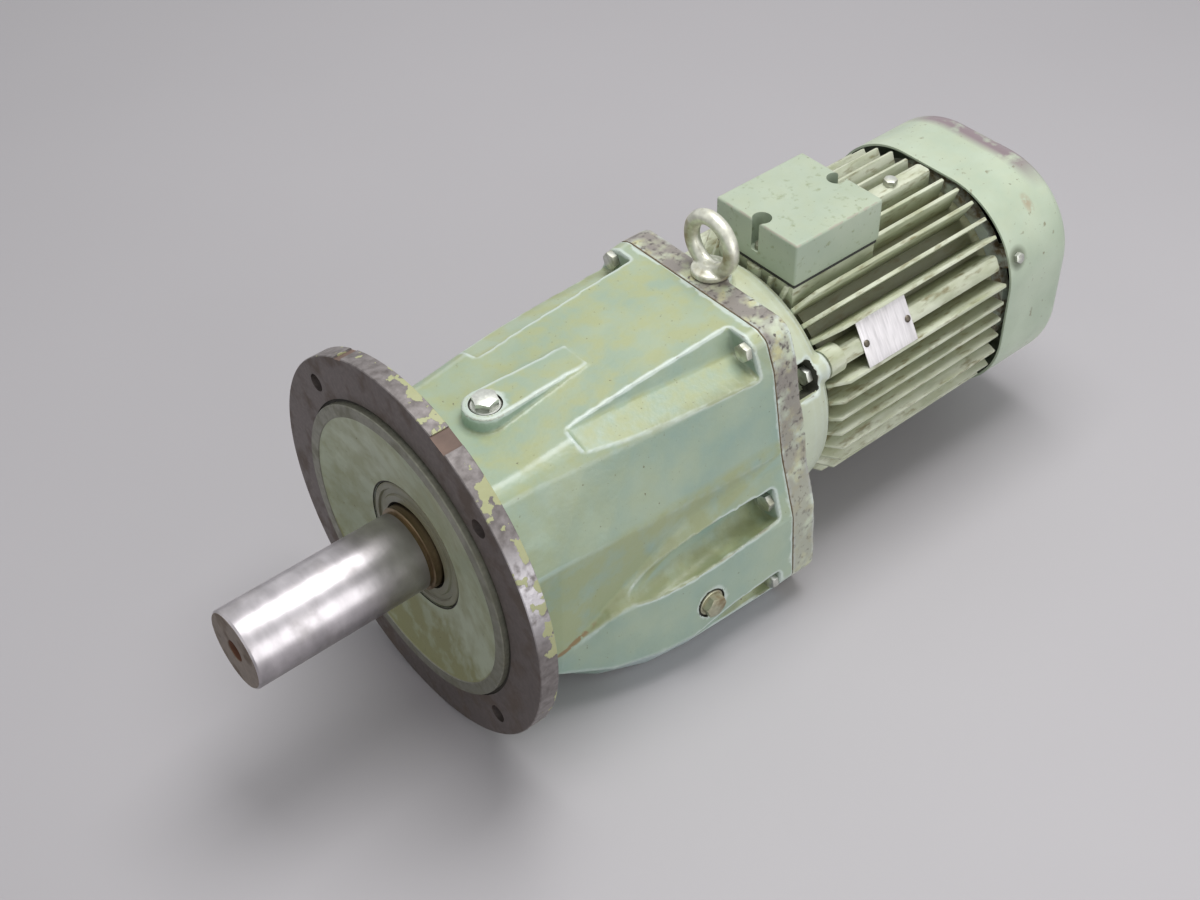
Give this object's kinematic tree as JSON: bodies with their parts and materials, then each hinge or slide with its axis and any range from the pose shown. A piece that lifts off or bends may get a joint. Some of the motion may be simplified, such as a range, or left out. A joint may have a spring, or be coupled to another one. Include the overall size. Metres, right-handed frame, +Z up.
{
  "type": "gear motor",
  "caption": "Coaxial helical gear motor with a round output flange, solid keyed shaft, lifting eye, finned motor frame, terminal box and fan cover.",
  "frame": {"origin": "on the surface the machine stands on, midway along its length, below the output shaft axis", "axes": "+X from the output shaft end to the fan cover, +Z up, +Y to the far side from the nameplate"},
  "size_m": [0.74, 0.3, 0.3023],
  "materials": {
    "cast_green": "sage green paint over cast iron",
    "motor_green": "olive green paint, weathered",
    "sheet_green": "pale green paint",
    "painted_seal": "seal painted over",
    "steel": "turned",
    "bearing_steel": "ground",
    "zinc": "zinc plated",
    "rubber": "matt",
    "gasket_paper": "matt",
    "copper": "varnished",
    "lamination": "stacked sheet",
    "aluminium": "bare",
    "black_plastic": "moulded"
  },
  "bodies": {
    "machine": {"cable_entry_plug": "black_plastic", "dowel_pin_1": "steel", "dowel_pin_2": "steel", "drain_plug": "zinc", "earth_screw": "zinc", "fan_cover": "sheet_green", "fan_cover_screw_1": "zinc", "fan_cover_screw_2": "zinc", "fan_cover_screw_3": "zinc", "filler_plug": "zinc", "gear_housing": "cast_green", "housing_bolt_1": "zinc", "housing_bolt_2": "zinc", "housing_bolt_3": "zinc", "housing_bolt_4": "zinc", "housing_bolt_5": "zinc", "housing_bolt_6": "zinc", "housing_gasket": "gasket_paper", "lay_front_bearing_outer": "bearing_steel", "lay_rear_bearing_outer": "bearing_steel", "level_plug": "zinc", "lid_screw_1": "zinc", "lid_screw_2": "zinc", "lifting_eyebolt": "zinc", "motor_adapter": "cast_green", "motor_bolt_1": "zinc", "motor_bolt_2": "zinc", "motor_bolt_3": "zinc", "motor_oil_seal": "rubber", "nameplate": "aluminium", "nameplate_rivet_1": "zinc", "nameplate_rivet_2": "zinc", "output_front_bearing_outer": "bearing_steel", "output_oil_seal": "painted_seal", "output_rear_bearing_outer": "bearing_steel", "rear_end_shield": "cast_green", "rotor_front_bearing_outer": "bearing_steel", "rotor_rear_bearing_outer": "bearing_steel", "stator_core": "lamination", "stator_frame": "motor_green", "terminal_board": "black_plastic", "terminal_box_gasket": "rubber", "terminal_box_lid": "sheet_green", "winding_front": "copper", "winding_rear": "copper"},
    "output": {"output_shaft": "steel", "output_gear": "steel", "output_gear_key": "steel", "output_front_bearing_inner": "bearing_steel", "output_rear_bearing_inner": "bearing_steel"},
    "lay": {"lay_shaft": "steel", "intermediate_gear": "steel", "lay_front_bearing_inner": "bearing_steel", "lay_rear_bearing_inner": "bearing_steel"},
    "rotor": {"rotor_shaft": "steel", "rotor_core": "lamination", "motor_pinion": "steel", "cooling_fan": "black_plastic", "rotor_front_bearing_inner": "bearing_steel", "rotor_rear_bearing_inner": "bearing_steel"}
  },
  "joints": [
    {"name": "output_turn", "type": "hinge", "parent": "machine", "child": "output", "pos_m": [0, 0, 0.15], "axis": [1, 0, 0], "continuous": true},
    {"name": "lay_turn", "type": "hinge", "parent": "machine", "child": "lay", "pos_m": [0, 0, 0.068], "axis": [1, 0, 0], "continuous": true},
    {"name": "rotor_turn", "type": "hinge", "parent": "machine", "child": "rotor", "pos_m": [0, 0, 0.138], "axis": [1, 0, 0], "continuous": true}
  ],
  "couplings": [
    {"joint": "lay_turn", "follows": "output_turn", "ratio": -2.8571},
    {"joint": "rotor_turn", "follows": "output_turn", "ratio": 10.095}
  ]
}
